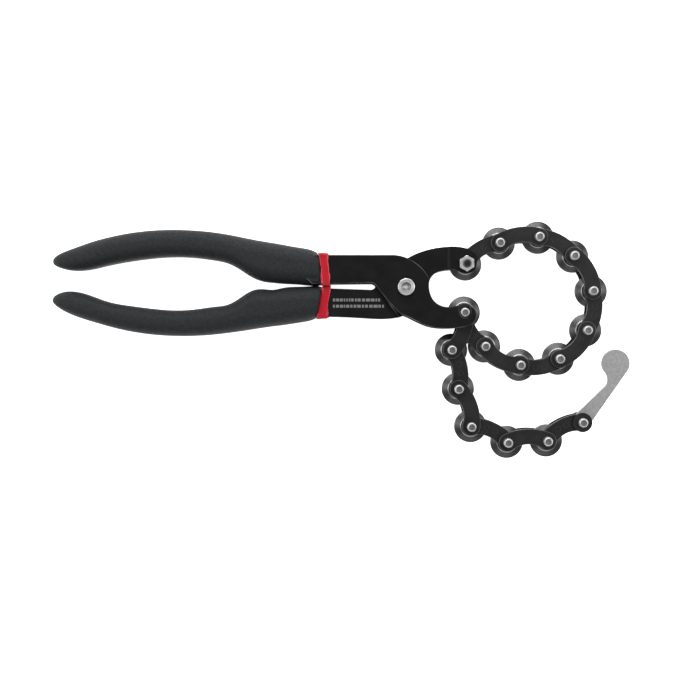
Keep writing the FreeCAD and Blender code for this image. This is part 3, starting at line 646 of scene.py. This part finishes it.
def make_edge_highlight_strip(node, body, side, width):
    """A thin strip with a painted highlight along the rim of a blackened plate's outer face."""
    edges, inward = face_outline(node, side)
    above_face = 0.000006
    lift = Vector((0.0, 0.0, above_face * side))
    points = []
    faces = []
    for first, last in edges:
        start = len(points)
        corners = (first, last, last + inward[last] * width, first + inward[first] * width)
        points.extend(corner + lift for corner in corners)
        faces.append((start, start + 1, start + 2, start + 3))
    mesh = bpy.data.meshes.new(f"{node}_rim")
    mesh.from_pydata(points, [], faces)
    mesh.materials.append(PAINTED_EDGE_HIGHLIGHT)
    new_piece(f"{node}_rim", mesh, ORIGIN, body)


def crown_side(number, first, last):
    """The unit vector across a link, towards its crown."""
    along = (last - first).normalized()
    across = Vector((-along.y, along.x, 0.0))
    reach = [(point.co - first).dot(across) for point in NODES[f"chain_link_{number:02d}"].data.vertices]
    return across if max(reach) > -min(reach) else -across


def make_link_dimples():
    """Two shallow ring marks stamped in the front face of each inner link."""
    face = (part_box("chain_link_01")[1].z - MIDDLE) / MM
    bend = 0.0029
    from_pin = 0.0089
    section = [(1.35, -0.3), (1.7, -0.3), (1.7, 0.0), (1.52, 0.07), (1.35, 0.0)]
    mesh = turned_mesh("link_dimple", [(r, face + z) for r, z in section], "link_steel", 60)
    for number in range(1, LINKS + 1, 2):
        first = pin_place(number - 1)
        last = pin_place(number)
        along = (last - first).normalized()
        across = crown_side(number, first, last)
        for end, start, way in (("near", first, along), ("far", last, -along)):
            place = start + way * from_pin + across * bend
            new_piece(f"dimple_{number:02d}_{end}", mesh, place, f"link_{number:02d}")


def make_care_marks():
    """Two rows of plain pale dashes on the lower arm."""
    arm_face = MIDDLE + 0.0053
    lift = 0.00001
    start_x = -0.0422
    dash_height = 0.0017
    dashes = random.Random(7)
    points = []
    faces = []
    for row_y, end_x in ((-0.0083, -0.0142), (-0.0119, -0.0128)):
        x = start_x
        while x < end_x:
            length = dashes.uniform(0.0008, 0.0024)
            first = len(points)
            for dx, dy in ((0, 0), (length, 0), (length, dash_height), (0, dash_height)):
                points.append((x + dx, row_y + dy, arm_face + lift))
            faces.append((first, first + 1, first + 2, first + 3))
            x += length + dashes.uniform(0.0004, 0.0008)
    mesh = bpy.data.meshes.new("care_marks")
    mesh.from_pydata(points, [], faces)
    mesh.materials.append(pale_print())
    marks = new_piece("care_marks", mesh, ORIGIN, "chain_lever")
    thick = marks.modifiers.new("thickness", "SOLIDIFY")
    thick.thickness = 0.00002


# ---------------------------------------------------------------- stage

def make_stage():
    """An evenly bright white floor just below the tool."""
    reach = 12.0
    gap = 0.0002
    floor_mesh = bpy.data.meshes.new("floor")
    corners = [(-reach, -reach, 0), (reach, -reach, 0), (reach, reach, 0), (-reach, reach, 0)]
    floor_mesh.from_pydata(corners, [], [(0, 1, 2, 3)])
    floor = bpy.data.objects.new("floor", floor_mesh)
    bpy.context.scene.collection.objects.link(floor)
    floor.location.z = cad_box[0][2] - gap
    material, _, shader = new_material("pale_floor", 0.0, 0.9)
    shader.inputs["Base Color"].default_value = (0.86, 0.86, 0.86, 1.0)
    shader.inputs["Emission Color"].default_value = (1.0, 1.0, 1.0, 1.0)
    shader.inputs["Emission Strength"].default_value = 0.95
    floor_mesh.materials.append(material)


def add_softbox(name, place, aim, width, height, power):
    light = bpy.data.lights.new(name, "AREA")
    light.shape = "RECTANGLE"
    light.size = width
    light.size_y = height
    light.energy = power
    lamp = bpy.data.objects.new(name, light)
    bpy.context.scene.collection.objects.link(lamp)
    lamp.location = place
    lamp.rotation_euler = (Vector(aim) - Vector(place)).to_track_quat("-Z", "Y").to_euler()


def light_stage():
    """Four softboxes round the tool and a pale sky."""
    world = bpy.data.worlds.new("studio")
    world.use_nodes = True
    back = world.node_tree.nodes["Background"]
    back.inputs["Color"].default_value = (1.0, 1.0, 1.0, 1.0)
    back.inputs["Strength"].default_value = 0.26
    bpy.context.scene.world = world
    middle = (-0.03, -0.02, 0.0)
    add_softbox("softbox_top", (-0.1, 0.95, 0.75), middle, 1.4, 0.5, 15.0)
    add_softbox("softbox_left", (-1.0, 0.1, 0.75), middle, 0.5, 1.2, 6.5)
    add_softbox("softbox_right", (0.95, 0.15, 0.8), middle, 0.5, 1.2, 6.5)
    add_softbox("softbox_low", (0.0, -1.0, 0.8), middle, 1.3, 0.5, 3.5)


def place_camera():
    """Straight down on the tool, centred between the grips and the tail."""
    height_over_middle = 0.5803
    view_width = 0.3913
    view_plane = 0.572
    camera = bpy.data.cameras.new("camera")
    camera.angle = 2 * math.atan(view_width / 2 / view_plane)
    eye = bpy.data.objects.new("camera", camera)
    bpy.context.scene.collection.objects.link(eye)
    eye.location = (-0.03812, -0.0306, MIDDLE + height_over_middle)
    bpy.context.scene.camera = eye


# ---------------------------------------------------------------- build

dress_nodes()
make_wheels()
make_pins()
make_pivot()
make_grips_and_bands()
for plate in ("hook_lever_front", "hook_lever_rear", "chain_lever_front", "chain_lever_rear"):
    soften_edges(plate, 0.0004, 20)
soften_edges("anchor_nut", 0.00012)
# thin strips with a painted highlight round the outer faces of the hook lever plates
for plate, way in (("hook_lever_front", 1), ("hook_lever_rear", -1)):
    make_edge_highlight_strip(plate, "hook_lever", way, 0.0004)
make_link_dimples()
make_care_marks()
make_stage()
light_stage()
place_camera()
bpy.context.scene.view_settings.view_transform = "Standard"
